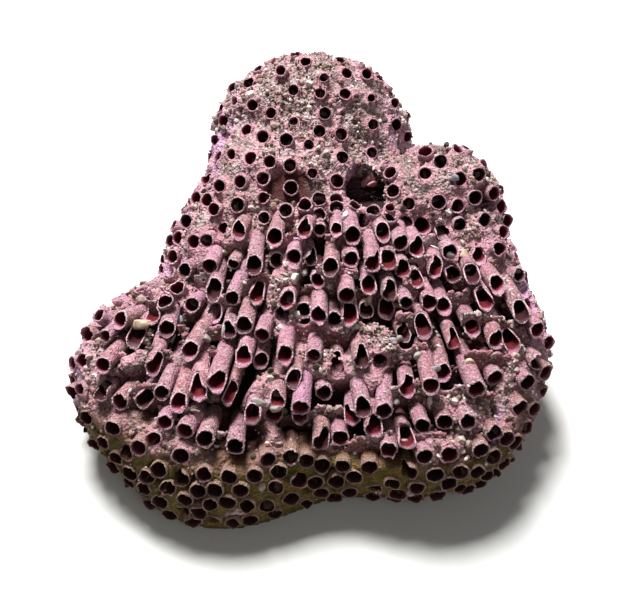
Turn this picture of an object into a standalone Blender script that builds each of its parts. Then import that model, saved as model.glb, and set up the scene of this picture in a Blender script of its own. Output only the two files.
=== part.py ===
"""A lump of red organ pipe coral, cut off flat where it grew on the reef.

The colony is one piece: hundreds of stony pipes that fan out from one heart and are bound together by thin
floors. The low front band is worn open, so that whole pipes stand free there, and everywhere else the floors
are flush with the pipes' mouths. Metres, +Z up, resting on z = 0 with the origin under the middle of the colony.
"""

import math

import bmesh
import bpy
import numpy as np
from mathutils import Vector
from mathutils.kdtree import KDTree

# Pipes, all of one kind and one bore.
PIPE_RADIUS = 0.00105
BORE_RADIUS = 0.00080
FREE_BORE_DEPTH = 0.0034
FLUSH_BORE_DEPTH = 0.0020
FREE_LENGTH = 0.0052
MOUTH_COUNT = 525
LOWEST_MOUTH = 0.0024
LEAST_SPACING = 0.00225

# The point that every pipe grew away from lies far behind the colony and a little below it.
SEED_POINT = np.array((0.001, 0.072, -0.018))

# How far a pipe leans: 0 stands square to the surface, 1 points straight away from the seed point.
FLUSH_LEAN = 0.50
FREE_LEAN = 0.92
LEAST_RISE = 0.62
BACK_FADE = 0.35
MOUTH_SLANT = 0.40
FOOT_SLANT = 0.60

# The heart of the mass, from which every part of its surface can be seen.
HEART = np.array((0.001, -0.0053, 0.007))

# The swellings that make up the mass, as centre and half sizes.
LOBES = {
    "main": ((0.0018, -0.015, 0.0048), (0.0278, 0.0192, 0.0109)),
    "front_left": ((-0.011, -0.0233, 0.004), (0.015, 0.015, 0.011)),
    "front_right": ((0.014, -0.0211, 0.0072), (0.0138, 0.0149, 0.0092)),
    "left_shoulder": ((-0.021, -0.0185, 0.0076), (0.0102, 0.0125, 0.0089)),
    "right_bulge": ((0.0227, -0.0157, 0.0105), (0.0078, 0.0081, 0.0066)),
    "right_step": ((0.022, -0.0054, 0.010), (0.0075, 0.0078, 0.0084)),
    "left_terrace": ((-0.0103, 0.0021, 0.0071), (0.0122, 0.0118, 0.0109)),
    "right_knob": ((0.0186, 0.0063, 0.0126), (0.0102, 0.0103, 0.0121)),
    "brow": ((0.002, -0.0063, 0.011), (0.019, 0.013, 0.0115)),
    "neck": ((-0.0037, 0.0104, 0.0098), (0.0147, 0.0141, 0.015)),
    "tower": ((-0.0004, 0.025, 0.0138), (0.0169, 0.0135, 0.0155)),
}
HOLLOWS = {
    "cleft": ((0.0093, 0.0037, 0.023), (0.0028, 0.005, 0.009)),
}
BLEND = 0.002
HOLLOW_CLEARANCE = 0.0012

# The worn band where the pipes stand free, as centre and half sizes.
FREE_BAND = ((0.001, -0.0193, 0.019), (0.033, 0.0205, 0.013))
FREE_EDGE = 0.010
FREE_FROM = 0.22

# The flat cut under the colony.
BASE_POINTS = 48
BASE_LEVEL = 0.0

# Search for the surface along rays from the heart.
FAR = 0.060
RAY_STEPS = 150
HALVINGS = 18
CANDIDATES = 14000
PROBE = 0.0002
SEED = 5

CORAL_PINK = (0.56, 0.25, 0.31, 1.0)
CORAL_ROUGHNESS = 0.85


def unit(vectors):
    return vectors / np.linalg.norm(vectors, axis=-1, keepdims=True)


def ellipsoid_distance(points, centre, radii):
    """About how far each point lies outside an ellipsoid, negative inside it."""
    offset = (points - np.array(centre)) / np.array(radii)
    size = np.linalg.norm(offset, axis=-1)
    slope = np.linalg.norm(offset / np.array(radii), axis=-1)
    return size * (size - 1) / np.maximum(slope, 1e-9)


def colony_distance(points):
    """Distance outside the colony: its lobes run together softly, and the hollows are taken out."""
    lobes = np.array([ellipsoid_distance(points, *lobe) for lobe in LOBES.values()])
    nearest = lobes.min(axis=0)
    distance = nearest - BLEND * np.log(np.exp((nearest - lobes) / BLEND).sum(axis=0))
    for hollow in HOLLOWS.values():
        distance = np.maximum(distance, -ellipsoid_distance(points, *hollow))
    return distance


def surface_normals(points):
    """The way out of the colony at each point, from its distance a little to either side."""
    steps = np.eye(3) * PROBE
    slopes = [colony_distance(points + step) - colony_distance(points - step) for step in steps]
    return unit(np.stack(slopes, axis=-1))


def reach_surface(start, directions):
    """Where rays from start last leave the colony: marched in from outside, then halved down."""
    reach = np.full(len(directions), 0.0)
    waiting = np.ones(len(directions), bool)
    step = FAR / RAY_STEPS
    for along in np.arange(FAR, step, -step):
        inside = waiting.copy()
        inside[waiting] = colony_distance(start + directions[waiting] * along) < 0
        reach[inside] = along
        waiting &= ~inside
    near = reach.copy()
    far = reach + step
    for _ in range(HALVINGS):
        middle = (near + far) / 2
        inside = colony_distance(start + directions * middle[:, None]) < 0
        near = np.where(inside, middle, near)
        far = np.where(inside, far, middle)
    return start + directions * near[:, None]


def golden_directions(count):
    """Unit vectors spread evenly over a sphere along a golden-angle spiral."""
    steps = np.arange(count) + 0.5
    height = 1 - 2 * steps / count
    turn = math.pi * (1 + math.sqrt(5)) * steps
    width = np.sqrt(1 - height**2)
    return np.stack([width * np.cos(turn), width * np.sin(turn), height], axis=-1)


def free_share(points):
    """1 well inside the band where pipes stand free, down to 0 at its edge and outside it."""
    depth = -ellipsoid_distance(points, *FREE_BAND)
    return np.clip(depth / FREE_EDGE, 0, 1)


def pipe_axes(tips, normals, lean):
    """Pipes lean from square to the surface towards straight away from the seed point, but never lie down."""
    away = unit(tips - SEED_POINT)
    lean = lean * np.clip((away * normals).sum(axis=1) / BACK_FADE, 0, 1)
    axes = unit(normals * (1 - lean[:, None]) + away * lean[:, None])
    rise = (axes * normals).sum(axis=1)
    lift = np.clip(LEAST_RISE - rise, 0, None)
    return unit(axes + normals * lift[:, None] * 1.2)


def choose_mouths():
    """Spreads the pipes so that no two crowd each other, at their tips or at their feet, seen along their axes."""
    chance = np.random.default_rng(SEED)
    tips = reach_surface(HEART, golden_directions(CANDIDATES))
    hollowed = np.min([ellipsoid_distance(tips, *hollow) for hollow in HOLLOWS.values()], axis=0)
    tips = tips[(tips[:, 2] > LOWEST_MOUTH) & (hollowed > HOLLOW_CLEARANCE)]
    normals = surface_normals(tips)
    share = free_share(tips)
    axes = pipe_axes(tips, normals, FLUSH_LEAN + (FREE_LEAN - FLUSH_LEAN) * share)
    feet = tips - axes * (FREE_LENGTH * share * (share > FREE_FROM))[:, None]
    keenness = chance.uniform(0.78, 1.0, len(tips))
    spacing = np.full(len(tips), FAR)
    chosen = []
    for _ in range(MOUTH_COUNT):
        pick = int(np.argmax(spacing * keenness)) if chosen else int(np.argmax(tips[:, 2]))
        if spacing[pick] < LEAST_SPACING:
            break
        chosen.append(pick)
        shared = unit(axes + axes[pick])
        for ends in (tips, feet):
            gaps = ends - ends[pick]
            across = gaps - (gaps * shared).sum(axis=1)[:, None] * shared
            spacing = np.minimum(spacing, np.linalg.norm(across, axis=1))
    return tips[chosen], normals[chosen], axes[chosen], feet[chosen]


def base_outline():
    """Points round the flat cut, where the colony's side meets the base level."""
    turns = np.arange(BASE_POINTS) * 2 * math.pi / BASE_POINTS
    level = np.array((HEART[0], HEART[1], BASE_LEVEL))
    directions = np.stack([np.cos(turns), np.sin(turns), np.zeros(BASE_POINTS)], axis=-1)
    return reach_surface(level, directions)


def place_ring(face, centre, axis, plane, radius):
    """Moves a face's corners onto a circle round the axis, slid along it onto the plane through the centre."""
    for corner in face.verts:
        spoke = corner.co - centre
        spoke = (spoke - axis * spoke.dot(axis)).normalized() * radius
        corner.co = centre + spoke - axis * (spoke.dot(plane) / axis.dot(plane))


def sink_bore(bm, face, bottom):
    """Draws the middle of a mouth's face down the pipe."""
    poked = bmesh.ops.poke(bm, faces=[face])
    poked["verts"][0].co = bottom


def raise_pipe(bm, face, foot, tip, axis, normal):
    """A free pipe: its wall from the floor up to the mouth, the rim of the mouth, and the bore."""
    place_ring(face, foot, axis, axis.lerp(normal, FOOT_SLANT).normalized(), PIPE_RADIUS)
    mouth_plane = axis.lerp(normal, MOUTH_SLANT).normalized()
    for radius in (PIPE_RADIUS, BORE_RADIUS):
        face = bmesh.ops.extrude_discrete_faces(bm, faces=[face])["faces"][0]
        place_ring(face, tip, axis, mouth_plane, radius)
    sink_bore(bm, face, tip - axis * FREE_BORE_DEPTH)


def open_mouth(bm, face, tip, axis, normal):
    """A mouth flush with the floor: just its bore."""
    place_ring(face, tip, axis, normal, BORE_RADIUS)
    sink_bore(bm, face, tip - axis * FLUSH_BORE_DEPTH)


def colony_mesh():
    tips, normals, axes, feet = choose_mouths()
    free = free_share(tips) > FREE_FROM
    outline = base_outline()
    middle = np.array([(HEART[0], HEART[1], BASE_LEVEL)])
    points = np.concatenate([feet, outline, middle])

    # Seen from the heart, the points are spread on a sphere, and its hull joins each to its neighbours.
    bm = bmesh.new()
    for direction in unit(points - HEART):
        bm.verts.new(direction)
    bmesh.ops.convex_hull(bm, input=bm.verts)
    bm.verts.ensure_lookup_table()
    for corner, point in zip(bm.verts, points):
        corner.co = point
    flat = [face for face in bm.faces if all(abs(corner.co.z - BASE_LEVEL) < 1e-6 for corner in face.verts)]
    bmesh.ops.dissolve_faces(bm, faces=flat, use_verts=True)
    bm.verts.ensure_lookup_table()

    # Each pipe's point opens into a ring, which is the foot of its wall.
    sites = KDTree(len(tips))
    for number, foot in enumerate(feet):
        sites.insert(foot, number)
    sites.balance()
    starts = [bm.verts[number] for number in range(len(tips))]
    rings = bmesh.ops.bevel(
        bm, geom=starts, offset=BORE_RADIUS * 0.6, affect="VERTICES", segments=1, profile=0.5, material=-1
    )["faces"]
    for face in rings:
        _, number, _ = sites.find(face.calc_center_median())
        tip, axis, normal = (Vector(rows[number]) for rows in (tips, axes, normals))
        if free[number]:
            raise_pipe(bm, face, Vector(feet[number]), tip, axis, normal)
        else:
            open_mouth(bm, face, tip, axis, normal)
    bmesh.ops.recalc_face_normals(bm, faces=bm.faces)
    mesh = bpy.data.meshes.new("coral")
    bm.to_mesh(mesh)
    bm.free()
    return mesh


def coral_material():
    material = bpy.data.materials.new("coral_pink")
    material.use_nodes = True
    shader = material.node_tree.nodes["Principled BSDF"]
    shader.inputs["Base Color"].default_value = CORAL_PINK
    shader.inputs["Roughness"].default_value = CORAL_ROUGHNESS
    shader.inputs["Metallic"].default_value = 0.0
    return material


for leftover in list(bpy.data.objects):
    bpy.data.objects.remove(leftover)
coral = bpy.data.objects.new("coral", colony_mesh())
coral.data.materials.append(coral_material())
bpy.context.scene.collection.objects.link(coral)
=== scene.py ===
import math

import bmesh
import bpy
import numpy as np
from mathutils import Matrix, Vector, noise
from mathutils.bvhtree import BVHTree


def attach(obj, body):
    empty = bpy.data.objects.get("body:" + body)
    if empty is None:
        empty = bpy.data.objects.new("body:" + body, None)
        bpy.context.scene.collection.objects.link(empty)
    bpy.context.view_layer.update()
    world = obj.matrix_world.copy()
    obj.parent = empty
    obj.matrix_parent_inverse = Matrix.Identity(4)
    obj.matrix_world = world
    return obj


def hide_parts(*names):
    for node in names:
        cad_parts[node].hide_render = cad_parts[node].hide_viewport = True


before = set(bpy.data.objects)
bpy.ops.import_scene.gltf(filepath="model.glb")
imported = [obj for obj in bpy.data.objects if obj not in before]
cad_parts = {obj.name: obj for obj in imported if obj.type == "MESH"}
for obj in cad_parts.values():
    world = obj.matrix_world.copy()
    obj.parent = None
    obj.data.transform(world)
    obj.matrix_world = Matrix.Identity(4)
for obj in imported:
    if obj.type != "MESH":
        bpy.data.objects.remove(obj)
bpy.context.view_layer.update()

# The mass of the colony. Its outline is a set of soft lobes run together: a broad front, a stepped left
# side, a knob to the right and the tall lobe at the back. Every pipe and floor grows from this one form.
LOBES = {
    "main": ((0.0018, -0.015, 0.0048), (0.0278, 0.0192, 0.0109)),
    "front_left": ((-0.011, -0.0233, 0.004), (0.015, 0.015, 0.011)),
    "front_right": ((0.014, -0.0211, 0.0072), (0.0138, 0.0149, 0.0092)),
    "left_shoulder": ((-0.021, -0.0185, 0.0076), (0.0102, 0.0125, 0.0089)),
    "right_bulge": ((0.0227, -0.0157, 0.0105), (0.0078, 0.0081, 0.0066)),
    "right_step": ((0.022, -0.0054, 0.010), (0.0075, 0.0078, 0.0084)),
    "left_terrace": ((-0.0103, 0.0021, 0.0071), (0.0122, 0.0118, 0.0109)),
    "right_knob": ((0.0186, 0.0063, 0.0126), (0.0102, 0.0103, 0.0121)),
    "brow": ((0.002, -0.0063, 0.011), (0.019, 0.013, 0.0115)),
    "neck": ((-0.0037, 0.0104, 0.0098), (0.0147, 0.0141, 0.015)),
    "tower": ((-0.0004, 0.025, 0.0138), (0.0169, 0.0135, 0.0155)),
}
HOLLOWS = {
    "cleft": ((0.0078, 0.0045, 0.0215), (0.0028, 0.0062, 0.0120)),
    "right_pocket": ((0.0206, -0.0285, 0.0085), (0.0018, 0.0045, 0.0032)),
    "low_pocket": ((-0.0090, -0.0345, 0.0045), (0.0034, 0.0035, 0.0015)),
}
BLEND = 0.002
HEART = np.array((0.001, -0.0053, 0.007))
FAR = 0.060
RAY_STEPS = 150
PROBE = 0.0002


def unit(vectors):
    return vectors / np.linalg.norm(vectors, axis=-1, keepdims=True)


def ease(value):
    """0 below 0, 1 above 1, and soft at both ends."""
    value = np.clip(value, 0, 1)
    return value * value * (3 - 2 * value)


def ellipsoid_distance(points, centre, radii):
    offset = (points - np.array(centre)) / np.array(radii)
    size = np.linalg.norm(offset, axis=-1)
    slope = np.linalg.norm(offset / np.array(radii), axis=-1)
    return size * (size - 1) / np.maximum(slope, 1e-9)


def lobe_distance(points):
    lobes = np.array([ellipsoid_distance(points, *lobe) for lobe in LOBES.values()])
    nearest = lobes.min(axis=0)
    return nearest - BLEND * np.log(np.exp((nearest - lobes) / BLEND).sum(axis=0))


def hollow_distance(points):
    return np.min([ellipsoid_distance(points, *hollow) for hollow in HOLLOWS.values()], axis=0)


def colony_distance(points):
    return np.maximum(lobe_distance(points), -hollow_distance(points))


def surface_normals(points):
    steps = np.eye(3) * PROBE
    slopes = [colony_distance(points + step) - colony_distance(points - step) for step in steps]
    return unit(np.stack(slopes, axis=-1))


def reach_surface(start, directions):
    """Where rays from start last leave the colony: marched in from outside, then halved down."""
    reach = np.full(len(directions), 0.0)
    waiting = np.ones(len(directions), bool)
    step = FAR / RAY_STEPS
    for along in np.arange(FAR, step, -step):
        inside = waiting.copy()
        inside[waiting] = colony_distance(start + directions[waiting] * along) < 0
        reach[inside] = along
        waiting &= ~inside
    near = reach.copy()
    far = reach + step
    for _ in range(18):
        middle = (near + far) / 2
        inside = colony_distance(start + directions * middle[:, None]) < 0
        near = np.where(inside, middle, near)
        far = np.where(inside, far, middle)
    return start + directions * near[:, None]


def lumps(points, size, seed):
    """Smooth noise from about -1 to 1 whose lumps are about size across."""
    shift = Vector((seed * 3.1, seed * 5.7, seed * 7.3))
    return np.array([noise.noise(Vector(point) / size + shift) for point in points]) * 1.7


# The worn band, the crust and the low front floor. The pipes stand free in the band across the front and
# the middle. The low front is a smooth floor with flush mouths. Elsewhere crust fills up to the mouths.
BAND = ((0.001, -0.0193, 0.0182), (0.033, 0.0215, 0.0142))
BAND_EDGE = 0.007
BAND_DEPTH = 0.0052
CRUST_DEPTH = 0.00055
FRONT_FLOOR_TOP = 0.0128
FRONT_FLOOR_FADE = 0.004


def band_share(points):
    """How far into the worn band each point is, 0 to 1; its edge is ragged."""
    ragged = 0.0022 * lumps(points, 0.0062, 11) + 0.0009 * lumps(points, 0.0025, 12)
    return ease((ragged - ellipsoid_distance(points, *BAND)) / BAND_EDGE)


def front_floor_share(points, normals):
    low = ease((FRONT_FLOOR_TOP - points[:, 2]) / FRONT_FLOOR_FADE)
    facing = ease((-normals[:, 1] - 0.35) / 0.3)
    return low * facing * (1 - band_share(points))


def low_front_shade(points, normals):
    """Painted shade: how strongly the lowest part of the front is darkened to green-brown."""
    return 0.65 * ease((0.0136 - points[:, 2]) / 0.005) * ease((-normals[:, 1] - 0.10) / 0.3)


# Worn patches: the crust has come away there and the smooth floor under it shows, with the pipes' ends
# standing up from it. The floor is painted dark red, and near black as painted shade where it lies deepest.
# Each is a centre, radii and how deep it lies.
WORN_PATCHES = {
    "upper": ((-0.0034, 0.0022, 0.0226), (0.0042, 0.0036, 0.0030), 0.0017),
    "arc": ((0.0029, -0.0036, 0.0224), (0.0046, 0.0022, 0.0030), 0.0018),
    "knob_pocket": ((0.0242, 0.0012, 0.0207), (0.0020, 0.0024, 0.0030), 0.0030),
    "low_gap": ((-0.0128, -0.0378, 0.0069), (0.0022, 0.0024, 0.0018), 0.0026),
}


def worn_patches(points):
    """How far into a worn patch each point is, 0 to 1, and how deep the floor lies there."""
    share = np.zeros(len(points))
    depth = np.zeros(len(points))
    ragged = 0.0004 * lumps(points, 0.0024, 51)
    for centre, radii, floor_depth in WORN_PATCHES.values():
        here = ease((ragged - ellipsoid_distance(points, centre, radii)) / 0.0006)
        depth = np.where(here > share, floor_depth, depth)
        share = np.maximum(share, here)
    return share, depth


# The pipes' places. They spread out from a point far behind the colony, so that none crowds its neighbour:
# closest in the band, where they lean furthest, and widest on the tall lobe.
SEED_POINT = np.array((0.003, 0.300, -0.080))
CANDIDATES = 14000
MOUTH_COUNT = 700
WANTED_SPACING = 0.00225
LOWEST_MOUTH = 0.0024
LEAST_SPACING = 0.0021
LONGEST_PIPE = 0.007
HOLLOW_CLEARANCE = 0.0006
LEAN_EDGE = 0.007
FLUSH_LEAN = 0.60
FREE_LEAN = 1.00
LEAST_RISE = 0.42
BACK_FADE = 0.35
SPACING_SEED = 5
CLOSER_ON_FLOOR = 0.55
CLOSER_IN_BAND = 0.32
WIDER_BEHIND = 0.14
CLUSTERING = 0.14
CLUSTER_SIZE = 0.0042


def golden_directions(count):
    steps = np.arange(count) + 0.5
    height = 1 - 2 * steps / count
    turn = math.pi * (1 + math.sqrt(5)) * steps
    width = np.sqrt(1 - height**2)
    return np.stack([width * np.cos(turn), width * np.sin(turn), height], axis=-1)


def choose_mouths():
    chance = np.random.default_rng(SPACING_SEED)
    tips = reach_surface(HEART, golden_directions(CANDIDATES))
    tips = tips[(tips[:, 2] > LOWEST_MOUTH) & (hollow_distance(tips) > HOLLOW_CLEARANCE)]
    normals = surface_normals(tips)
    away = unit(tips - SEED_POINT)
    inner = np.clip(-ellipsoid_distance(tips, *BAND) / LEAN_EDGE, 0, 1)
    lean = FLUSH_LEAN + (FREE_LEAN - FLUSH_LEAN) * inner
    lean = (lean * np.clip((away * normals).sum(axis=1) / BACK_FADE, 0, 1))[:, None]
    axes = unit(normals * (1 - lean) + away * lean)
    lift = np.clip(LEAST_RISE - (axes * normals).sum(axis=1), 0, None)
    axes = unit(axes + normals * lift[:, None] * 1.2)
    on_floor = front_floor_share(tips, normals)
    keenness = chance.uniform(0.78, 1.0, len(tips))
    keenness *= 1 + CLOSER_ON_FLOOR * on_floor + CLOSER_IN_BAND * inner
    behind = ease((tips[:, 1] - 0.002) / 0.010)
    keenness *= (1 - WIDER_BEHIND * behind) * (1 + CLUSTERING * lumps(tips, CLUSTER_SIZE, 61))
    least = LEAST_SPACING * (1 - 0.10 * on_floor)
    spacing = np.full(len(tips), FAR)
    chosen = []
    for _ in range(MOUTH_COUNT):
        room = np.where(spacing < least, 0, spacing * keenness)
        pick = int(np.argmax(room)) if chosen else int(np.argmax(tips[:, 2]))
        if room[pick] < WANTED_SPACING:
            break
        chosen.append(pick)
        gaps = tips - tips[pick]
        shared = unit(axes + axes[pick])
        along = (gaps * shared).sum(axis=1)
        across = np.linalg.norm(gaps - along[:, None] * shared, axis=1)
        spacing = np.minimum(spacing, across + np.clip(np.abs(along) - LONGEST_PIPE, 0, None) / 2)
    return tips[chosen], normals[chosen], axes[chosen]


# Each pipe's width, how far its tip stands proud of the form or is broken back, and how deep its bore is.
PIPE_RADIUS = 0.00106
NARROW_SHARE = 0.06
NARROW_GIRTH = 0.78
PROUD_FLUSH = 0.00050
PROUD_FREE = 0.0004
BROKEN_BACK = 0.0030
BROKEN_SHARE = 0.6
BORE_DEPTH = 0.0030
TOP_LIMIT = 0.0299
BORE_SHARE = 0.80
PAST_TIP = 0.004
PIPE_REACH = 0.014
BATCH = 4000
chance = np.random.default_rng(21)
mouths, mouth_normals, pipe_axes = choose_mouths()
mouth_count = len(mouths)
free = band_share(mouths)
floor_share = front_floor_share(mouths, mouth_normals)
girth = PIPE_RADIUS * (1 + chance.normal(0, 0.05, mouth_count)).clip(0.86, 1.14)
girth *= np.where(chance.random(mouth_count) < NARROW_SHARE, NARROW_GIRTH, 1.0)
girth *= 1 - 0.10 * ease((mouths[:, 1] - 0.004) / 0.02)
stand = chance.uniform(0.0, PROUD_FLUSH + PROUD_FREE * free, mouth_count) * (1 - floor_share)
stand -= free * chance.uniform(0.0, BROKEN_BACK, mouth_count) * (chance.random(mouth_count) < BROKEN_SHARE)
stand += floor_share * 0.00010
# Painted shade for the pipes low in front: the front floor and the lowest front.
low_shade = np.maximum(floor_share, low_front_shade(mouths, mouth_normals))
rise = (pipe_axes * mouth_normals).sum(axis=1)
tips = mouths + pipe_axes * (stand / rise)[:, None]
bore_depth = BORE_DEPTH + BORE_DEPTH * free


def pipe_clearance(points):
    """How far each point is from the nearest pipe's wall, negative inside it, and that pipe's number."""
    gaps = np.full(len(points), 1.0)
    owner = np.zeros(len(points), int)
    for start in range(0, len(points), BATCH):
        offset = points[start:start + BATCH][:, None, :] - tips[None, :, :]
        along = (offset * pipe_axes[None]).sum(axis=2)
        across = np.sqrt(np.maximum((offset**2).sum(axis=2) - along**2, 0)) - girth[None]
        across = np.where((along > PAST_TIP) | (along < -PIPE_REACH), 1.0, across)
        gaps[start:start + BATCH] = across.min(axis=1)
        owner[start:start + BATCH] = across.argmin(axis=1)
    return gaps, owner


# The skeleton's finish. All of it is one chalky stone, red in the mass: pink where it is worn, lilac on some
# pipes' walls, maroon down the bores, and elsewhere under beige grit. Painted on it too: lilac rim light on
# the mass's flanks, painted shade that darkens deep places and bores towards black, and green-brown painted
# shade low in front.
PINK = (0.475, 0.215, 0.262, 1)
PALE_PINK = (0.60, 0.41, 0.455, 1)
BROWN_PINK = (0.170, 0.066, 0.058, 1)
LILAC = (0.52, 0.27, 0.47, 1)
GRIT_DARK = (0.042, 0.021, 0.017, 1)
GRIT_BROWN = (0.135, 0.092, 0.072, 1)
GRIT_BEIGE = (0.28, 0.202, 0.194, 1)
GRIT_ROSE = (0.26, 0.130, 0.150, 1)
GRIT_WHITE = (0.53, 0.45, 0.44, 1)
GRIT_PALE = (0.47, 0.40, 0.395, 1)
# Painted shade: dark green-brown for the low front, standing in for shade with a green cast.
SHADE_OLIVE = (0.078, 0.057, 0.010, 1)
SHADE_OLIVE_PINK = (0.150, 0.092, 0.022, 1)
# Dark red, partly the stone's own colour and partly painted shade in deep places.
RED_FLOOR = (0.062, 0.012, 0.009, 1)
# Down the bore, lip to deep: the stone's own pink and red, made darker with depth as painted shade.
BORE_LIP = (0.44, 0.22, 0.30, 1)
BORE_ROSE = (0.28, 0.090, 0.130, 1)
BORE_RED = (0.125, 0.004, 0.010, 1)
BORE_DEEP = (0.085, 0.0015, 0.0035, 1)
# Painted shade: near black in the bores and in the deepest places.
SHADE_BLACK = (0.018, 0.0015, 0.0018, 1)
# Painted shade: near black in the bores low in front.
LOW_SHADE_BORE = (0.024, 0.004, 0.003, 1)


class Stone:
    """A matt stone material and the nodes that shade it."""

    def __init__(self, name, roughness):
        self.material = bpy.data.materials.new(name)
        self.material.use_nodes = True
        self.tree = self.material.node_tree
        self.shader = self.tree.nodes["Principled BSDF"]
        self.shader.inputs["Roughness"].default_value = roughness
        self.shader.inputs["Specular IOR Level"].default_value = 0.25
        self.place = self.tree.nodes.new("ShaderNodeTexCoord").outputs["Object"]

    def attribute(self, name):
        node = self.tree.nodes.new("ShaderNodeAttribute")
        node.attribute_name = name
        return node.outputs["Fac"]

    def speckle(self, grains_per_metre, detail=2.0, roughness=0.6):
        node = self.tree.nodes.new("ShaderNodeTexNoise")
        node.inputs["Scale"].default_value = grains_per_metre
        node.inputs["Detail"].default_value = detail
        node.inputs["Roughness"].default_value = roughness
        self.tree.links.new(self.place, node.inputs["Vector"])
        return node.outputs["Fac"]

    def grains(self, grains_per_metre):
        node = self.tree.nodes.new("ShaderNodeTexVoronoi")
        node.inputs["Scale"].default_value = grains_per_metre
        self.tree.links.new(self.place, node.inputs["Vector"])
        split = self.tree.nodes.new("ShaderNodeSeparateColor")
        self.tree.links.new(node.outputs["Color"], split.inputs["Color"])
        return split.outputs["Red"], node.outputs["Distance"]

    def span(self, value, low, high, to_low=0.0, to_high=1.0):
        node = self.tree.nodes.new("ShaderNodeMapRange")
        node.interpolation_type = "SMOOTHSTEP"
        self.tree.links.new(value, node.inputs["Value"])
        for socket, number in zip(("From Min", "From Max", "To Min", "To Max"), (low, high, to_low, to_high)):
            node.inputs[socket].default_value = number
        return node.outputs["Result"]

    def times(self, one, other):
        node = self.tree.nodes.new("ShaderNodeMath")
        node.operation = "MULTIPLY"
        for socket, value in zip(node.inputs, (one, other)):
            if isinstance(value, (int, float)):
                socket.default_value = value
            else:
                self.tree.links.new(value, socket)
        return node.outputs["Value"]

    def mix(self, share, first, second):
        node = self.tree.nodes.new("ShaderNodeMix")
        node.data_type = "RGBA"
        for socket, value in ((node.inputs[0], share), (node.inputs[6], first), (node.inputs[7], second)):
            if isinstance(value, (tuple, float, int)):
                socket.default_value = value
            else:
                self.tree.links.new(value, socket)
        return node.outputs[2]

    def ramp(self, value, stops, steps=False):
        node = self.tree.nodes.new("ShaderNodeValToRGB")
        if steps:
            node.color_ramp.interpolation = "CONSTANT"
        points = node.color_ramp.elements
        while len(points) < len(stops):
            points.new(1.0)
        for point, (place, colour) in zip(points, stops):
            point.position = place
            point.color = colour
        self.tree.links.new(value, node.inputs["Fac"])
        return node.outputs["Color"]

    def colour(self, value):
        self.tree.links.new(value, self.shader.inputs["Base Color"])

    def relief(self, *layers):
        """Bump layers, each a value and its height in metres."""
        last = None
        for value, height in layers:
            node = self.tree.nodes.new("ShaderNodeBump")
            node.inputs["Distance"].default_value = height
            self.tree.links.new(value, node.inputs["Height"])
            if last:
                self.tree.links.new(last, node.inputs["Normal"])
            last = node.outputs["Normal"]
        self.tree.links.new(last, self.shader.inputs["Normal"])


def grit_colour(stone):
    """The crust's sand: beige grains with dark, white and pink ones among them."""
    pick, _ = stone.grains(2600)
    fine, _ = stone.grains(5200)
    sand = stone.ramp(pick, (
        (0.0, GRIT_DARK), (0.18, GRIT_BROWN), (0.40, GRIT_BEIGE), (0.66, GRIT_ROSE), (0.80, GRIT_BEIGE),
        (0.93, GRIT_WHITE),
    ), steps=True)
    specks = stone.ramp(fine, (
        (0.0, GRIT_DARK), (0.24, GRIT_BROWN), (0.48, GRIT_BEIGE), (0.90, GRIT_WHITE),
    ), steps=True)
    sand = stone.mix(0.5, sand, specks)
    clumps = stone.span(stone.speckle(210, 3.0), 0.50, 0.60, 0.0, 0.55)
    return stone.mix(stone.times(clumps, stone.span(pick, 0.15, 0.45)), sand, GRIT_PALE)


def skeleton_material():
    """The mass: crust on the back and the steps, green-brown painted shade low in front, dark red floors
    inside, partly the stone's own colour and partly painted shade, lilac painted rim light on the flanks, and
    painted shade near black where it lies deepest.
    """
    stone = Stone("coral_skeleton", 0.88)
    patch = stone.speckle(330, 4.0)
    fine = stone.speckle(2600, 4.0, 0.7)
    pink = stone.mix(stone.span(fine, 0.42, 0.78), BROWN_PINK, PINK)
    grit = grit_colour(stone)
    cover = stone.times(stone.attribute("crust"), stone.span(patch, 0.36, 0.50, 0.75, 1.0))
    skin = stone.mix(cover, pink, grit)
    rim = stone.times(stone.attribute("collar"), stone.span(fine, 0.30, 0.62, 0.25, 0.9))
    skin = stone.mix(rim, skin, PINK)
    # Painted rim light: lilac on the mass's flanks and far faces, from the side attribute.
    side = stone.times(stone.attribute("side"), stone.span(fine, 0.34, 0.60, 0.3, 1.0))
    skin = stone.mix(side, skin, LILAC)
    # Painted shade: dark green-brown over the low front floor and the lowest front.
    low_shade_olive = stone.mix(stone.span(stone.speckle(1100, 3.0), 0.40, 0.68), SHADE_OLIVE, SHADE_OLIVE_PINK)
    skin = stone.mix(stone.attribute("floor"), skin, low_shade_olive)
    # Partly the stone's own dark red and partly painted shade, darker with depth.
    skin = stone.mix(stone.attribute("deep"), skin, RED_FLOOR)
    # Painted shade: near black in the deepest places.
    skin = stone.mix(stone.attribute("sunk"), skin, SHADE_BLACK)
    stone.colour(skin)
    _, gap = stone.grains(2600)
    stone.relief((fine, 0.00022), (gap, 0.00025))
    return stone.material


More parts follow.
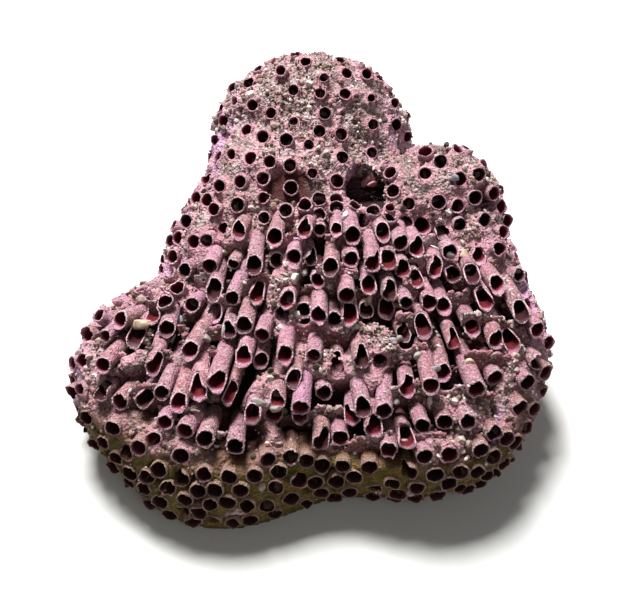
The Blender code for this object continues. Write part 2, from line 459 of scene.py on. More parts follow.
def pipe_material():
    """The pipes: dusty pink outside, paler on the worn rims, and red down the bore, with painted shade that
    turns it maroon to black with depth, and green-brown painted shade on the walls low in front.
    """
    stone = Stone("coral_pipes", 0.80)
    fine = stone.speckle(3000, 4.0, 0.7)
    patch = stone.speckle(700, 3.0)
    tint = stone.attribute("tint")
    wall = stone.mix(stone.span(fine, 0.38, 0.66), BROWN_PINK, PINK)
    wall = stone.mix(stone.times(stone.span(patch, 0.45, 0.70), 0.40), wall, PALE_PINK)
    wall = stone.mix(stone.times(tint, 0.42), wall, LILAC)
    pick, gap = stone.grains(4200)
    dust = stone.ramp(pick, (
        (0.0, GRIT_DARK), (0.2, GRIT_BROWN), (0.5, GRIT_BEIGE), (0.88, GRIT_WHITE),
    ), steps=True)
    dusty = stone.times(stone.span(stone.speckle(1300, 4.0), 0.46, 0.58), stone.attribute("dust"))
    wall = stone.mix(dusty, wall, dust)
    # Painted shade: pipe walls low in front are tinted dark green-brown.
    low_shade_tint = stone.times(stone.attribute("low_shade"), stone.span(fine, 0.35, 0.66, 0.97, 0.70))
    wall = stone.mix(low_shade_tint, wall, SHADE_OLIVE_PINK)
    wall = stone.mix(stone.attribute("rim"), wall, PALE_PINK)
    # Partly the stone's own dark red and partly painted shade deep between the pipes.
    wall = stone.mix(stone.attribute("deep"), wall, RED_FLOOR)
    # The bore wall is the stone's own red; its darkening with depth towards maroon, and to near black in some
    # pipes, is painted shade.
    bore = stone.ramp(stone.attribute("bore"), (
        (0.0, BORE_LIP), (0.08, BORE_ROSE), (0.19, BORE_RED), (0.60, BORE_DEEP),
    ))
    bore = stone.mix(stone.span(stone.attribute("dust"), 0.40, 0.85, 0.0, 0.85), bore, SHADE_BLACK)
    # Painted shade: bores low in front go near black.
    bore = stone.mix(stone.times(stone.attribute("low_shade"), 0.85), bore, LOW_SHADE_BORE)
    wall = stone.mix(stone.attribute("inside"), wall, bore)
    stone.colour(wall)
    stone.relief((fine, 0.00026), (gap, 0.00016))
    return stone.material


SKELETON = skeleton_material()
PIPES = pipe_material()


def finish_piece(name, mesh, material, smooth=True):
    """Puts a mesh in the scene as a piece of the colony."""
    mesh.materials.clear()
    mesh.materials.append(material)
    mesh.shade_smooth() if smooth else mesh.shade_flat()
    piece = bpy.data.objects.new(name, mesh)
    bpy.context.scene.collection.objects.link(piece)
    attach(piece, "root")
    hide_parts("coral")
    return piece


def set_attribute(mesh, name, values):
    layer = mesh.attributes.get(name) or mesh.attributes.new(name, "FLOAT", "POINT")
    layer.data.foreach_set("value", np.ascontiguousarray(values, dtype=np.float32))


def points_of(mesh):
    points = np.empty(len(mesh.vertices) * 3, np.float32)
    mesh.vertices.foreach_get("co", points)
    return points.reshape(-1, 3).astype(float)


def normals_of(mesh):
    normals = np.empty(len(mesh.vertices) * 3, np.float32)
    mesh.vertices.foreach_get("normal", normals)
    return normals.reshape(-1, 3).astype(float)


def put_points(mesh, points):
    mesh.vertices.foreach_set("co", np.ascontiguousarray(points, dtype=np.float32).ravel())
    mesh.update()


def repeated(pattern, count):
    """A mesh with count copies of a pattern, one after the other."""
    bm = bmesh.new()
    for _ in range(count):
        bm.from_mesh(pattern)
    mesh = bpy.data.meshes.new("repeated")
    bm.to_mesh(mesh)
    bm.free()
    return mesh


def with_modifiers(name, mesh, settings):
    """A mesh after modifiers, each given as its kind and its settings."""
    holder = bpy.data.objects.new(name, mesh)
    bpy.context.scene.collection.objects.link(holder)
    for kind, values in settings:
        modifier = holder.modifiers.new(kind.lower(), kind)
        for key, value in values.items():
            setattr(modifier, key, value)
    seen = holder.evaluated_get(bpy.context.evaluated_depsgraph_get())
    result = bpy.data.meshes.new_from_object(seen)
    bpy.data.objects.remove(holder)
    return result


# The skin of the colony: an even mesh over the whole form, cut off flat underneath, where it grew on the
# reef. The mass is this skin, sunk and roughened.
SKIN_FINENESS = 6
SKIN_PITCH = 0.00042


def colony_skin():
    bm = bmesh.new()
    bmesh.ops.create_icosphere(bm, subdivisions=SKIN_FINENESS, radius=1.0)
    bm.verts.ensure_lookup_table()
    directions = unit(np.array([corner.co[:] for corner in bm.verts]))
    for corner, point in zip(bm.verts, reach_surface(HEART, directions)):
        corner.co = point
    everything = bm.verts[:] + bm.edges[:] + bm.faces[:]
    bmesh.ops.bisect_plane(bm, geom=everything, plane_co=(0, 0, 0), plane_no=(0, 0, 1), clear_inner=True)
    border = [edge for edge in bm.edges if edge.is_boundary]
    bmesh.ops.contextual_create(bm, geom=border)
    bmesh.ops.recalc_face_normals(bm, faces=bm.faces)
    mesh = bpy.data.meshes.new("skin")
    bm.to_mesh(mesh)
    bm.free()
    return with_modifiers("skin", mesh, [("REMESH", {"mode": "VOXEL", "voxel_size": SKIN_PITCH})])


# The bores through the mass. Each is a little wider than its pipe's bore, so its edge is inside the wall.
BORE_SIDES = 12
BORE_TOP = 0.004


def bore_cutters():
    bm = bmesh.new()
    for number in range(mouth_count):
        axis = Vector(pipe_axes[number])
        turn = axis.to_track_quat("Z", "Y").to_matrix().to_4x4()
        length = BORE_TOP + bore_depth[number]
        middle = Vector(tips[number]) + axis * (BORE_TOP - bore_depth[number]) / 2
        radius = girth[number] * (1 + BORE_SHARE) / 2
        bmesh.ops.create_cone(
            bm, cap_ends=True, cap_tris=False, segments=BORE_SIDES, radius1=radius, radius2=radius,
            depth=length, matrix=Matrix.Translation(middle) @ turn,
        )
    mesh = bpy.data.meshes.new("bores")
    bm.to_mesh(mesh)
    bm.free()
    return mesh


def bored(mesh):
    cutter = bpy.data.objects.new("bores", bore_cutters())
    bpy.context.scene.collection.objects.link(cutter)
    settings = {"object": cutter, "operation": "DIFFERENCE", "solver": "MANIFOLD"}
    result = with_modifiers("coral_mass", mesh, [("BOOLEAN", settings)])
    bpy.data.objects.remove(cutter)
    return result


# The mass of the skeleton: crusted and lumpy on the back and the steps, smooth low in front, and deep down
# between the pipes in the worn band. It is solid to the flat cut, with a bore under each mouth.
BROAD_RELIEF = 0.00070
SMALL_RELIEF = 0.00034
TINY_RELIEF = 0.00016
COLLAR_HEIGHT = 0.00040
PIT_DEPTH = 0.0012
CREST_HEIGHT = 0.00060
HIGHEST_CRUST = 0.00015
skin = colony_skin()
skin_points = points_of(skin)
above = skin_points[:, 2] > 0.0004
skin_normals = surface_normals(skin_points)
skin_free = band_share(skin_points)
skin_floor = front_floor_share(skin_points, skin_normals)
skin_clear, _ = pipe_clearance(skin_points)
broad = lumps(skin_points, 0.0046, 1)
small = lumps(skin_points, 0.0016, 2)
tiny = lumps(skin_points, 0.0007, 3)


def ledge_crests(points):
    """Thin curved crests on the crust, where the edge of a buried floor shows through: 0 to 1."""
    line = np.exp(-(lumps(points, 0.0120, 31) / 0.085) ** 2)
    return line * ease((lumps(points, 0.0065, 32) + 0.15) / 0.4)


def sunk_skin():
    """How far the mass lies under the outer form at each point of the skin."""
    collar = np.exp(-(np.clip(skin_clear, 0, None) / 0.00060) ** 2)
    pits = ease((small - 0.22) / 0.35) * ease((tiny + 0.05) / 0.4)
    crust = CRUST_DEPTH - BROAD_RELIEF * broad - SMALL_RELIEF * small - TINY_RELIEF * tiny
    crust = crust - COLLAR_HEIGHT * collar + PIT_DEPTH * pits
    crust = np.maximum(crust - CREST_HEIGHT * ledge_crests(skin_points), -HIGHEST_CRUST)
    islands = ease((lumps(skin_points, 0.0070, 21) + 0.45 * broad + 0.80) / 0.8)
    band = BAND_DEPTH * (0.22 + 0.98 * islands) - 0.0004 * small - 0.0002 * tiny
    holes = ease((lumps(skin_points, 0.0026, 41) - 0.50) / 0.25)
    smooth = 0.00026 - 0.00014 * small - 0.00008 * tiny + 0.0004 * pits + 0.0017 * holes
    depth = crust * (1 - skin_floor) + smooth * skin_floor
    depth = depth * (1 - skin_free) + band * skin_free
    patch, floor_depth = worn_patches(skin_points)
    return depth * (1 - patch) + np.maximum(depth, floor_depth - 0.00012 * small) * patch


def lay_mass():
    mesh = skin.copy()
    depth = sunk_skin()
    low = ease(skin_points[:, 2] / 0.002)
    offset = colony_distance(skin_points) + depth * low
    points = np.where(above[:, None], skin_points - skin_normals * offset[:, None], skin_points)
    points[:, 2] = np.where(above, np.maximum(points[:, 2], 0.00005), 0.0)
    put_points(mesh, points)
    return bored(mesh)


mass = lay_mass()
mass_points = points_of(mass)
mass_normals = surface_normals(mass_points)
mass_depth = -lobe_distance(mass_points)
mass_clear, _ = pipe_clearance(mass_points)
mass_floor = front_floor_share(mass_points, mass_normals)
set_attribute(mass, "crust", (1 - mass_floor) * (1 - 0.35 * ease((mass_depth - 0.001) / 0.003)))
# Painted shade: the low front-facing floor and the lowest front are coloured green-brown, standing in for
# shade.
set_attribute(mass, "floor", np.maximum(mass_floor, 0.8 * low_front_shade(mass_points, mass_normals)))
broad_on_mass = lumps(mass_points, 0.0055, 19)
# Painted rim light: lilac on the flanks and on the far, upward and backward faces of the tall lobe, broken up
# by noise.
flank_rim_light = ease((np.abs(mass_normals[:, 0]) - 0.55) / 0.35)
flank_rim_light = flank_rim_light * ease((lumps(mass_points, 0.0055, 16) + 0.6) / 0.8)
far_rim_light = ease((mass_normals @ np.array((0, 0.66, 0.75)) - 0.86) / 0.10)
far_rim_light = far_rim_light * ease((mass_points[:, 1] - 0.024) / 0.006)
far_rim_lilac = 0.45 * far_rim_light * ease((broad_on_mass + 0.2) / 0.9)
set_attribute(mass, "side", 0.75 * np.maximum(flank_rim_light, far_rim_lilac))
mass_patch, _ = worn_patches(mass_points)
mass_hollow = ease((0.0018 - hollow_distance(mass_points)) / 0.001) * ease((mass_depth - 0.0010) / 0.0012)
bare = np.maximum(mass_patch * ease((mass_depth - 0.0005) / 0.0007), mass_hollow)
hole = mass_floor * ease((mass_depth - 0.0008) / 0.0009)
# Partly the stone's own dark red and partly painted shade: the mass is darker red the deeper it lies under
# the outer form, and in worn patches, hollows and the low floor's holes.
set_attribute(mass, "deep", np.maximum(ease((mass_depth - 0.0013) / 0.0026), np.maximum(bare, hole)) * 0.95)
# Painted shade: near black in the deepest places, worn patches, holes and hollows.
black_shade = np.maximum(mass_patch, hole) * ease((mass_depth - 0.0015) / 0.0012)
black_shade = np.maximum(black_shade, 0.42 * mass_patch * bare)
black_shade = np.maximum(black_shade, mass_hollow * ease((mass_depth - 0.0010) / 0.0020))
set_attribute(mass, "sunk", np.maximum(ease((mass_depth - 0.0026) / 0.0026), black_shade))
mass_collar = np.exp(-(np.clip(mass_clear, 0, None) / 0.0006) ** 2)
set_attribute(mass, "collar", np.maximum(mass_collar, 0.8 * ledge_crests(mass_points)) * (1 - bare))
finish_piece("coral_mass", mass, SKELETON)


# The pipes: stony walls a quarter of a millimetre thick, closed below, with a deep bore. Worn and broken
# rims are slantwise, so the lower lip stands out furthest. Those in the band are long and free.
STANDS_FREE = 0.05
FREE_LENGTH = 0.0030
EXTRA_LENGTH = 0.0072
STEEPEST_MOUTH = 0.55
OUT_OF_ROUND = 0.040
NOTCH_DEPTH = (0.0005, 0.0026)
BEND = 0.010
BEND_REACH = 0.006


def pipe_pattern(sides, rings):
    """A straight pipe of rings one above the other, closed at both ends. Its top is turned in later."""
    bm = bmesh.new()
    bmesh.ops.create_circle(bm, cap_ends=True, segments=sides, radius=1.0)
    face = bm.faces[:][0]
    for _ in range(rings - 1):
        face = bmesh.ops.extrude_discrete_faces(bm, faces=[face])["faces"][0]
        bmesh.ops.translate(bm, vec=(0, 0, 1), verts=face.verts)
    bmesh.ops.recalc_face_normals(bm, faces=bm.faces)
    mesh = bpy.data.meshes.new("pipe_pattern")
    bm.to_mesh(mesh)
    bm.free()
    return mesh


# Each ring of a pipe: how far it is under the mouth, as a share of the length outside or of the bore inside,
# plus millimetres, then its width between bore (0) and wall (1), and how much of the rim's shape it follows.
LONG_RINGS = (
    ("out", 1.00, 0.00, 1.00, 0.0), ("out", 0.66, 0.00, 1.03, 0.0), ("out", 0.36, 0.00, 0.98, 0.1),
    ("out", 0.12, 0.20, 1.04, 0.5), ("out", 0.00, 0.30, 1.00, 1.0), ("out", 0.00, 0.04, 0.96, 1.0),
    ("in", 0.00, 0.00, 0.55, 1.0), ("in", 0.00, 0.06, 0.08, 1.0), ("in", 0.00, 0.50, 0.00, 0.9),
    ("in", 0.28, 0.20, 0.00, 0.2), ("in", 0.62, 0.00, -0.1, 0.0), ("in", 1.00, 0.00, -0.3, 0.0),
)
SHORT_RINGS = (
    ("out", 1.00, 0.00, 1.00, 0.0), ("out", 0.22, 0.10, 1.04, 0.5), ("out", 0.00, 0.03, 0.96, 1.0),
    ("in", 0.00, 0.00, 0.50, 1.0), ("in", 0.00, 0.08, 0.06, 1.0), ("in", 0.30, 0.20, 0.00, 0.3),
    ("in", 1.00, 0.00, -0.3, 0.0),
)


def uneven(angles, seed, count, height):
    """Unevenness round each pipe's rim, from a few waves at chance angles. One row for each pipe."""
    chance = np.random.default_rng(seed)
    total = np.zeros((count, len(angles)))
    for frequency, strength in ((1, 0.5), (2, 0.8), (3, 0.6), (5, 0.5), (7, 0.4)):
        phase = chance.uniform(0, 2 * math.pi, (count, 1))
        size = chance.normal(0, strength, (count, 1))
        total += size * np.cos(frequency * angles[None] + phase)
    return total * height


def lay_pipes(name, numbers, sides, rings, seed, chips, breaks):
    numbers = np.array(numbers)
    chance = np.random.default_rng(seed)
    pattern = pipe_pattern(sides, len(rings))
    shape = points_of(pattern)
    level = np.rint(shape[:, 2]).astype(int)
    angle = np.arctan2(shape[:, 1], shape[:, 0])
    count = len(numbers)
    in_bore = np.array([row[0] == "in" for row in rings])[level]
    share, extra, width, follow = (np.array([row[k] for row in rings])[level] for k in (1, 2, 3, 4))

    axis = pipe_axes[numbers] + chance.normal(0, 0.05, (count, 3))
    axis = unit(axis)
    normal = mouth_normals[numbers]
    side = unit(np.cross(axis, normal + np.array((1e-4, 2e-4, 0))))
    up = np.cross(side, axis)
    wall = girth[numbers][:, None]
    bore = wall * (BORE_SHARE + 0.04 * floor_share[numbers][:, None] + chance.normal(0, 0.02, (count, 1)))
    outside = (bore_depth[numbers] + 0.0015)[:, None]
    share_free = free[numbers][:, None]
    length = np.where(share_free > STANDS_FREE, FREE_LENGTH + EXTRA_LENGTH * share_free, outside)
    length = np.maximum(length, outside)
    inside = bore_depth[numbers][:, None]
    reach = np.where(in_bore[None], share[None] * inside, share[None] * length) + extra[None] * 0.001

    # The mouth is slanted towards the colony's outer form, and its rim is chipped or broken away on one side.
    slant = chance.uniform(0.0, STEEPEST_MOUTH, (count, 1)) * (0.35 + 0.65 * share_free)
    rising = (axis * normal).sum(axis=1)[:, None]
    lean = np.sqrt(np.maximum(1 - rising ** 2, 0)) / np.maximum(rising, 0.3)
    radius = bore + (wall - bore) * width[None]
    radius = radius * (1 + uneven(angle, seed + 1, count, OUT_OF_ROUND))
    across = radius * np.cos(angle)[None]
    along_up = radius * np.sin(angle)[None]
    rim = -slant * lean * along_up
    rim = rim + uneven(angle, seed + 2, count, chips)
    broken = chance.random((count, 1)) < breaks * (0.35 + 0.65 * share_free)
    middle = chance.uniform(0.15 * math.pi, 0.85 * math.pi, (count, 1))
    spread = chance.uniform(0.8, 1.75, (count, 1))
    near = np.cos((angle[None] - middle + math.pi) % (2 * math.pi) - math.pi)
    notch = ease((near - np.cos(spread)) / 0.35) * chance.uniform(*NOTCH_DEPTH, (count, 1))
    rim = rim - np.where(broken, notch, 0)
    bend = chance.normal(0, BEND, (count, 2))
    drop = reach - rim * follow[None]
    curve = (drop / BEND_REACH) ** 2 * BEND_REACH
    centre_side = bend[:, :1] * curve
    centre_up = bend[:, 1:] * curve
    points = (
        tips[numbers][:, None, :]
        - axis[:, None, :] * drop[:, :, None]
        + side[:, None, :] * (across + centre_side)[:, :, None]
        + up[:, None, :] * (along_up + centre_up)[:, :, None]
    )
    flat = points.reshape(-1, 3)
    outer = np.tile(1.0 - in_bore, count)
    outward = side[:, None, :] * np.cos(angle)[None, :, None] + up[:, None, :] * np.sin(angle)[None, :, None]
    rough = 0.00006 * lumps(flat, 0.0009, 17) + 0.00003 * lumps(flat, 0.00035, 18)
    flat += outward.reshape(-1, 3) * (rough * outer)[:, None]
    flat[:, 2] = np.clip(flat[:, 2], 0.0003, TOP_LIMIT)
    mesh = repeated(pattern, count)
    put_points(mesh, flat)
    # Partly the stone's own dark red and partly painted shade: outer walls are darker the deeper they lie
    # below the outer form.
    set_attribute(mesh, "deep", 0.85 * ease((-lobe_distance(flat) - 0.0016) / 0.0034) * outer)
    on_rim = [0.3 <= row[3] <= 0.97 and row[4] > 0.9 and row[2] < 0.05 for row in rings]
    crest = np.tile(np.array(on_rim, float)[level], count)
    worn = np.repeat(0.45 + 0.55 * free[numbers] - 0.2 * floor_share[numbers], len(level))
    set_attribute(mesh, "inside", np.tile(in_bore & (width < 0.3), count))
    set_attribute(mesh, "rim", crest * 0.85 * worn)
    # How far down its bore each ring lies; the bore is painted darker with it, as painted shade.
    set_attribute(mesh, "bore", (np.where(in_bore[None], drop, 0) / 0.0032).clip(0, 1).ravel())
    set_attribute(mesh, "tint", np.repeat(chance.beta(0.7, 1.8, count), len(level)))
    # Painted shade low in front, carried on each pipe.
    set_attribute(mesh, "low_shade", np.repeat(low_shade[numbers], len(level)))
    # Per pipe: how dusty its outer wall is, and how far its bore is painted near black as painted shade.
    set_attribute(mesh, "dust", np.repeat(chance.uniform(0.1, 0.9, count), len(level)))
    return finish_piece(name, mesh, PIPES)


standing = [number for number in range(mouth_count) if free[number] > STANDS_FREE]
flush = [number for number in range(mouth_count) if free[number] <= STANDS_FREE]
pipes_front = lay_pipes("pipes_front", standing, 20, LONG_RINGS, 31, 0.00014, 0.55)
pipes_back = lay_pipes("pipes_back", flush, 16, SHORT_RINGS, 41, 0.00011, 0.30)


# The floors: thin stony sheets square to the pipes, one every few millimetres, that bind them side by side.
# In the worn band they are broken back to ragged ledges, dusty and crusted on their outer face.
FLOOR_GAP = 0.0041
FLOOR_THICKNESS = 0.00036
FLOOR_PITCH = 0.00040
FLOOR_WIDTH = 0.064
FLOOR_HEIGHT = 0.026
FLOOR_MIDDLE = 0.0155
FLOOR_FROM_TOP = 0.0005
FLOOR_BREAKS = -0.26
FLOOR_INTO_WALL = 0.00008


def lay_floors():
    bm = bmesh.new()
    reach = np.linalg.norm(mouths[free > 0.02] - SEED_POINT, axis=1)
    for number, distance in enumerate(np.arange(reach.min() - 0.004, reach.max(), FLOOR_GAP)):
        patch = bmesh.new()
        across, upward = (int(size / FLOOR_PITCH) for size in (FLOOR_WIDTH, FLOOR_HEIGHT))
        bmesh.ops.create_grid(patch, x_segments=across, y_segments=upward, size=1.0)
        sheet = np.array([corner.co[:] for corner in patch.verts])
        side = (sheet[:, 0] * FLOOR_WIDTH / 2 - SEED_POINT[0]) / distance
        height = (sheet[:, 1] * FLOOR_HEIGHT / 2 + FLOOR_MIDDLE - SEED_POINT[2]) / distance
        radius = distance + 0.0004 * np.cos(sheet[:, 0] * 9 + number) + 0.0003 * np.cos(sheet[:, 1] * 5)
        points = SEED_POINT + radius[:, None] * np.stack(
            [np.sin(side) * np.cos(height), -np.cos(side) * np.cos(height), np.sin(height)], axis=-1
        )
        depth = -colony_distance(points)
        wanted = (depth > 0) & (depth < BAND_DEPTH + 0.0012) & (band_share(points) > 0.02)
        places = np.flatnonzero(wanted)
        keep = np.zeros(len(points), bool)
        if len(places):
            inner = points[places]
            ragged = 0.0004 + 0.0007 * lumps(inner, 0.0021, 6) + 0.0002 * lumps(inner, 0.0007, 8)
            whole = lumps(inner, 0.0052, 7 + number) + 0.35 * lumps(inner, 0.0014, 9)
            clear, owner = pipe_clearance(inner)
            keep[places] = (depth[places] > np.maximum(ragged, FLOOR_FROM_TOP)) & (whole > FLOOR_BREAKS)
            keep[places] &= clear > -0.00020
            spoke = inner - tips[owner]
            axis = pipe_axes[owner]
            spoke -= (spoke * axis).sum(axis=1)[:, None] * axis
            touching = (clear < 0.00026) & (clear > -0.00030)
            shift = np.where(touching, -FLOOR_INTO_WALL - clear, 0)
            rough = 0.00013 * lumps(inner, 0.0011, 10)
            points[places] = inner + unit(spoke) * shift[:, None] + unit(inner - SEED_POINT) * rough[:, None]
        for corner, point in zip(patch.verts, points):
            corner.co = point
        lost = [corner for corner, kept in zip(patch.verts, keep) if not kept]
        bmesh.ops.delete(patch, geom=lost, context="VERTS")
        thin = [face for face in patch.faces if sum(len(edge.link_faces) > 1 for edge in face.edges) < 2]
        bmesh.ops.delete(patch, geom=thin, context="FACES")
        loose = [corner for corner in patch.verts if not corner.link_faces]
        bmesh.ops.delete(patch, geom=loose, context="VERTS")
        mesh = bpy.data.meshes.new("floor")
        patch.to_mesh(mesh)
        patch.free()
        bm.from_mesh(mesh)
        bpy.data.meshes.remove(mesh)
    mesh = bpy.data.meshes.new("floors")
    bm.to_mesh(mesh)
    bm.free()
    mesh = with_modifiers("floors", mesh, [("SOLIDIFY", {"thickness": FLOOR_THICKNESS, "offset": 0.0})])
    points = points_of(mesh)
    depth = -colony_distance(points)
    clear, _ = pipe_clearance(points)
    crusted = ease((lumps(points, 0.0040, 12) + 0.5) / 0.6) * ease((0.0042 - depth) / 0.002)
    set_attribute(mesh, "crust", crusted)
    set_attribute(mesh, "floor", np.zeros(len(points)))
    set_attribute(mesh, "side", np.zeros(len(points)))
    # Partly the stone's own dark red and partly painted shade: the floors are darker red, then near black,
    # the deeper they lie.
    set_attribute(mesh, "deep", ease((depth - 0.0014) / 0.0026) * 0.9)
    set_attribute(mesh, "sunk", ease((depth - 0.0030) / 0.0030))
    set_attribute(mesh, "collar", np.exp(-(np.clip(clear, 0, None) / 0.0004) ** 2) * 0.8)
    finish_piece("floors", mesh, SKELETON)
    return mesh


floors = lay_floors()


# The crust's loose grains: coarse sand and shell crumbs stuck on the crust, the ledges and the pipes' walls.
# Each grain is a dented stone of 20 faces, half sunk where it lies, and every one has one flat colour.
CRUST_CRUMBS = 8200
CRUST_CRUMB_SIZE = 0.00013
WALL_CRUMBS = 6500
WALL_CRUMB_SIZE = 0.00008
CRUMB_COLOURS = (
    (0.00, (0.040, 0.028, 0.022, 1)), (0.16, (0.17, 0.115, 0.09, 1)), (0.38, (0.30, 0.212, 0.188, 1)),
    (0.60, (0.33, 0.16, 0.17, 1)), (0.74, (0.43, 0.335, 0.310, 1)), (0.87, (0.58, 0.51, 0.49, 1)),
)
CRUMB_DUST = (0.20, 0.13, 0.10, 1)
CRUMB_STRETCH = (-0.35, 0.45)
CRUMB_DENTS = (-0.22, 0.22)
CRUMB_LIFT = 0.25


def crumb_material():
    stone = Stone("coral_sand", 0.75)
    grain = stone.ramp(stone.attribute("tone"), CRUMB_COLOURS, steps=True)
    dust = stone.span(stone.speckle(4000, 2.0), 0.35, 0.70, 0.0, 0.35)
    stone.colour(stone.mix(dust, grain, CRUMB_DUST))
    stone.relief((stone.speckle(6000, 2.0), 0.00005))
    return stone.material


SAND = crumb_material()


def stone_pattern(subdivisions):
    bm = bmesh.new()
    bmesh.ops.create_icosphere(bm, subdivisions=subdivisions, radius=1.0)
    mesh = bpy.data.meshes.new("stone_pattern")
    bm.to_mesh(mesh)
    bm.free()
    return mesh


def chance_turns(chance, count):
    """Turn matrices that point every way alike."""
    four = unit(chance.normal(size=(count, 4)))
    w, x, y, z = four.T
    return np.stack([
        np.stack([1 - 2 * (y * y + z * z), 2 * (x * y - z * w), 2 * (x * z + y * w)], axis=-1),
        np.stack([2 * (x * y + z * w), 1 - 2 * (x * x + z * z), 2 * (y * z - x * w)], axis=-1),
        np.stack([2 * (x * z - y * w), 2 * (y * z + x * w), 1 - 2 * (x * x + y * y)], axis=-1),
    ], axis=1)


def lay_crumbs(name, places, normals, size, tones, seed):
    """Small stones of 20 faces each, half sunk where they lie."""
    chance = np.random.default_rng(seed)
    count = len(places)
    pattern = stone_pattern(1)
    shape = points_of(pattern)
    stretch = 1 + chance.uniform(*CRUMB_STRETCH, (count, 1, 3))
    dents = 1 + chance.uniform(*CRUMB_DENTS, (count, len(shape), 1))
    local = (shape[None] * stretch * dents) @ chance_turns(chance, count)
    centres = places + normals * (size * CRUMB_LIFT)[:, None]
    points = centres[:, None, :] + local * size[:, None, None]
    points[:, :, 2] = np.maximum(points[:, :, 2], 0.0003)
    mesh = repeated(pattern, count)
    put_points(mesh, points.reshape(-1, 3))
    set_attribute(mesh, "tone", np.repeat(tones, len(shape)))
    finish_piece(name, mesh, SAND, smooth=False)


def lay_crust():
    chance = np.random.default_rng(61)
    places = np.concatenate([mass_points, points_of(floors)])
    normals = np.concatenate([normals_of(mass), normals_of(floors)])
    depth = -lobe_distance(places)
    clear, _ = pipe_clearance(places)
    clumps = ease((lumps(places, 0.0050, 14) + 0.55) / 0.9)
    ledges = np.zeros(len(places) - len(mass_points))
    smooth = np.concatenate([mass_floor, ledges])
    swept = np.concatenate([bare, ledges])
    weight = (1 - 0.92 * smooth) * (1 - swept) * ease((0.0050 - depth) / 0.003)
    weight = weight * (0.20 + clumps) * (1 + 1.1 * band_share(places))
    weight *= (clear > 0.00002) & (places[:, 2] > 0.0012)
    chosen = chance.choice(len(places), CRUST_CRUMBS, replace=False, p=weight / weight.sum())
    size = CRUST_CRUMB_SIZE * np.exp(chance.normal(0, 0.44, CRUST_CRUMBS)).clip(0.6, 3.0)
    size = size * (1 + 0.6 * clumps[chosen])
    lay_crumbs("sand_crust", places[chosen], normals[chosen], size, chance.random(CRUST_CRUMBS), 62)


def lay_wall_grit():
    chance = np.random.default_rng(63)
    diagonals = np.array([
        (face.vertices[0], face.vertices[2]) for face in pipes_front.data.polygons if len(face.vertices) == 4
    ])
    points = points_of(pipes_front.data)
    inside = np.empty(len(points), np.float32)
    pipes_front.data.attributes["bore"].data.foreach_get("value", inside)
    ends = points[diagonals]
    places = ends[:, 0] + (ends[:, 1] - ends[:, 0]) * chance.random((len(ends), 1))
    depth = -colony_distance(places)
    rough = ease((lumps(places, 0.0035, 15) + 0.35) / 0.7)
    weight = (inside[diagonals].max(axis=1) < 0.01) * ease((0.0055 - depth) / 0.003) * (0.15 + rough)
    chosen = chance.choice(len(places), WALL_CRUMBS, replace=False, p=weight / weight.sum())
    normals = normals_of(pipes_front.data)[diagonals[chosen, 0]]
    size = WALL_CRUMB_SIZE * np.exp(chance.normal(0, 0.40, WALL_CRUMBS)).clip(0.6, 2.6)
    lay_crumbs("sand_walls", places[chosen], normals, size, chance.random(WALL_CRUMBS), 64)


lay_crust()
lay_wall_grit()


# Pebbles and shell bits caught between the pipes, each where it is seen in the photograph: its place there in
# pixels, its length and width in metres, its turn in the picture in degrees, and its colour.
EYE = np.array((0.001, -0.0803, 0.082))
FOCAL_PIXELS = 722
PICTURE_MIDDLE = (320, 302)
CREAM = (0.54, 0.42, 0.29, 1)
SHELL_WHITE = (0.66, 0.62, 0.60, 1)
BLUE_GREY = (0.27, 0.30, 0.36, 1)
PLAIN_GREY = (0.30, 0.28, 0.26, 1)
BROKEN_PINK = (0.50, 0.19, 0.23, 1)
DIRT_BROWN = (0.17, 0.12, 0.09, 1)
PEBBLE_FACETS = 6
FACET_PLACE = (0.50, 0.80)
PEBBLE_LIFT = 0.18
PEBBLES = (
    ((294, 279), 0.0017, 0.0015, 60, SHELL_WHITE), ((397, 297), 0.0017, 0.0010, 5, CREAM),
    ((399, 305), 0.0017, 0.0010, -5, CREAM), ((368, 300), 0.0017, 0.0010, 70, CREAM),
    ((392, 330), 0.0014, 0.0011, 30, PLAIN_GREY), ((399, 339), 0.0012, 0.0010, 0, PLAIN_GREY),
    ((393, 341), 0.0012, 0.0009, 0, BLUE_GREY), ((171, 342), 0.0022, 0.0007, 62, SHELL_WHITE),
    ((180, 322), 0.0017, 0.0012, 80, BLUE_GREY), ((206, 338), 0.0014, 0.0012, 0, PLAIN_GREY),
    ((223, 331), 0.0017, 0.0005, 82, SHELL_WHITE), ((141, 324), 0.0026, 0.0018, 15, CREAM),
    ((259, 402), 0.0018, 0.0010, -15, PLAIN_GREY), ((276, 409), 0.0014, 0.0011, 0, PLAIN_GREY),
    ((284, 412), 0.0012, 0.0010, 40, CREAM), ((463, 255), 0.0019, 0.0014, 75, CREAM),
    ((437, 249), 0.0024, 0.0005, -35, SHELL_WHITE), ((451, 256), 0.0014, 0.0013, 0, SHELL_WHITE),
    ((435, 369), 0.0014, 0.0010, 20, BLUE_GREY), ((518, 270), 0.0013, 0.0010, 0, PLAIN_GREY),
    ((224, 253), 0.0017, 0.0010, 20, CREAM), ((470, 362), 0.0012, 0.0009, 0, CREAM),
    ((345, 216), 0.0016, 0.0012, 60, SHELL_WHITE), ((418, 356), 0.0013, 0.0010, 30, PLAIN_GREY),
    ((268, 196), 0.0014, 0.0011, 0, PLAIN_GREY), ((455, 178), 0.0014, 0.0011, 0, BLUE_GREY),
    ((366, 181), 0.0026, 0.0013, 62, BROKEN_PINK), ((372, 176), 0.0021, 0.0012, 118, BROKEN_PINK),
    ((372, 184), 0.0019, 0.0011, 15, BROKEN_PINK), ((369, 178), 0.0013, 0.0012, 40, PALE_PINK),
)


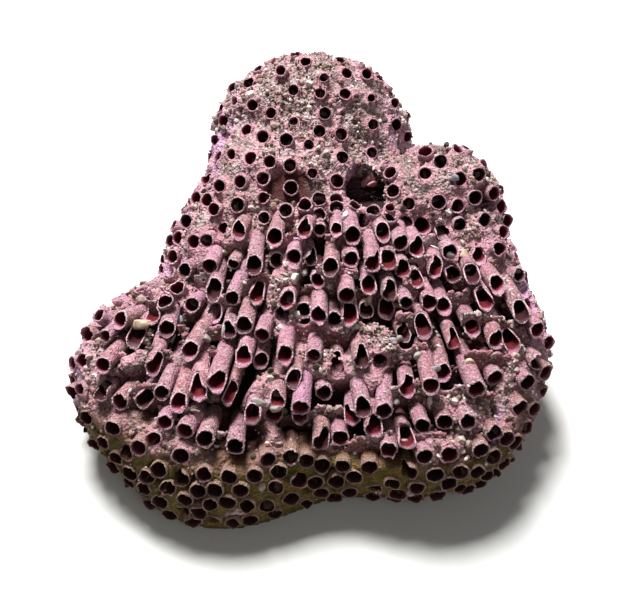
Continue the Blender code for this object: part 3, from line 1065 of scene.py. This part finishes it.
def pebble_material():
    stone = Stone("coral_pebbles", 0.45)
    colour = stone.tree.nodes.new("ShaderNodeAttribute")
    colour.attribute_name = "tint"
    dirt = stone.span(stone.speckle(900, 4.0), 0.36, 0.66, 0.1, 0.75)
    stone.colour(stone.mix(dirt, colour.outputs["Color"], DIRT_BROWN))
    stone.relief((stone.speckle(2400, 3.0), 0.00005))
    return stone.material


def lay_pebbles():
    seen = bmesh.new()
    for mesh in (mass, floors, pipes_front.data, pipes_back.data):
        seen.from_mesh(mesh)
    tree = BVHTree.FromBMesh(seen)
    seen.free()
    chance = np.random.default_rng(71)
    pattern = stone_pattern(3)
    shape = points_of(pattern)
    right = np.array((1.0, 0.0, 0.0))
    ahead = unit(np.array((0.0, 1.0, -1.0)))
    above_eye = unit(np.array((0.0, 1.0, 1.0)))
    bodies = []
    tints = []
    for number, ((across, down), length, width, turn, colour) in enumerate(PEBBLES):
        ray = ahead * FOCAL_PIXELS + right * (across - PICTURE_MIDDLE[0])
        ray = unit(ray + above_eye * (PICTURE_MIDDLE[1] - down))
        hit, _, _, _ = tree.ray_cast(Vector(EYE), Vector(ray))
        if hit is None:
            continue
        long_way = right * math.cos(math.radians(turn)) + above_eye * math.sin(math.radians(turn))
        short_way = np.cross(long_way, ahead)
        dents = 1 + 0.14 * lumps(shape, 0.9, number) + 0.05 * lumps(shape, 0.35, number)
        rounded = shape * dents[:, None]
        for facet in unit(chance.normal(size=(PEBBLE_FACETS, 3))):
            past = np.clip(rounded @ facet - chance.uniform(*FACET_PLACE), 0, None)
            rounded -= 0.85 * past[:, None] * facet
        body = rounded[:, :1] * long_way * length + rounded[:, 1:2] * short_way * width
        body = (body + rounded[:, 2:] * ahead * width) / 2
        bodies.append(np.array(hit) - ray * width * PEBBLE_LIFT + body)
        tints.append(np.tile(colour, (len(shape), 1)))
    mesh = repeated(pattern, len(bodies))
    put_points(mesh, np.concatenate(bodies))
    layer = mesh.attributes.new("tint", "FLOAT_COLOR", "POINT")
    layer.data.foreach_set("color", np.concatenate(tints).astype(np.float32).ravel())
    finish_piece("pebbles", mesh, pebble_material())


lay_pebbles()


# The camera, at the photograph's place: 45 degrees above the level, 0.115 m from the colony.
LOOKS_DOWN = 45
SENSOR_WIDTH = 36
PICTURE_WIDTH = 640
camera = bpy.data.objects.new("camera", bpy.data.cameras.new("camera"))
bpy.context.scene.collection.objects.link(camera)
camera.location = EYE
camera.rotation_euler = (math.radians(LOOKS_DOWN), 0, 0)
camera.data.sensor_width = SENSOR_WIDTH
camera.data.lens = FOCAL_PIXELS * SENSOR_WIDTH / PICTURE_WIDTH
camera.data.clip_start = 0.005
bpy.context.scene.camera = camera

# The studio: a plain pale floor and soft light, the main one high on the left and a little behind.
PAPER_COLOUR = (0.55, 0.55, 0.53, 1)
PAPER_HALF_WIDTH = 1.5
SKY_STRENGTH = 0.13
bm = bmesh.new()
bmesh.ops.create_grid(bm, x_segments=1, y_segments=1, size=PAPER_HALF_WIDTH)
ground_mesh = bpy.data.meshes.new("ground")
bm.to_mesh(ground_mesh)
bm.free()
ground = bpy.data.objects.new("ground", ground_mesh)
bpy.context.scene.collection.objects.link(ground)
paper = bpy.data.materials.new("paper")
paper.use_nodes = True
paper.node_tree.nodes["Principled BSDF"].inputs["Base Color"].default_value = PAPER_COLOUR
paper.node_tree.nodes["Principled BSDF"].inputs["Roughness"].default_value = 0.9
ground_mesh.materials.append(paper)

world = bpy.data.worlds.new("studio")
world.use_nodes = True
world.node_tree.nodes["Background"].inputs["Color"].default_value = (1, 1, 1, 1)
world.node_tree.nodes["Background"].inputs["Strength"].default_value = SKY_STRENGTH
bpy.context.scene.world = world


def soft_light(name, place, size, power):
    lamp = bpy.data.lights.new(name, "AREA")
    lamp.size = size
    lamp.energy = power
    holder = bpy.data.objects.new(name, lamp)
    holder.location = place
    holder.rotation_euler = (Vector((0, 0, 0.01)) - Vector(place)).to_track_quat("-Z", "Y").to_euler()
    bpy.context.scene.collection.objects.link(holder)


soft_light("key", (-0.06, 0.15, 0.33), 0.12, 4.1)
soft_light("fill", (0.12, -0.30, 0.34), 0.25, 0.30)
bpy.context.scene.view_settings.view_transform = "Standard"
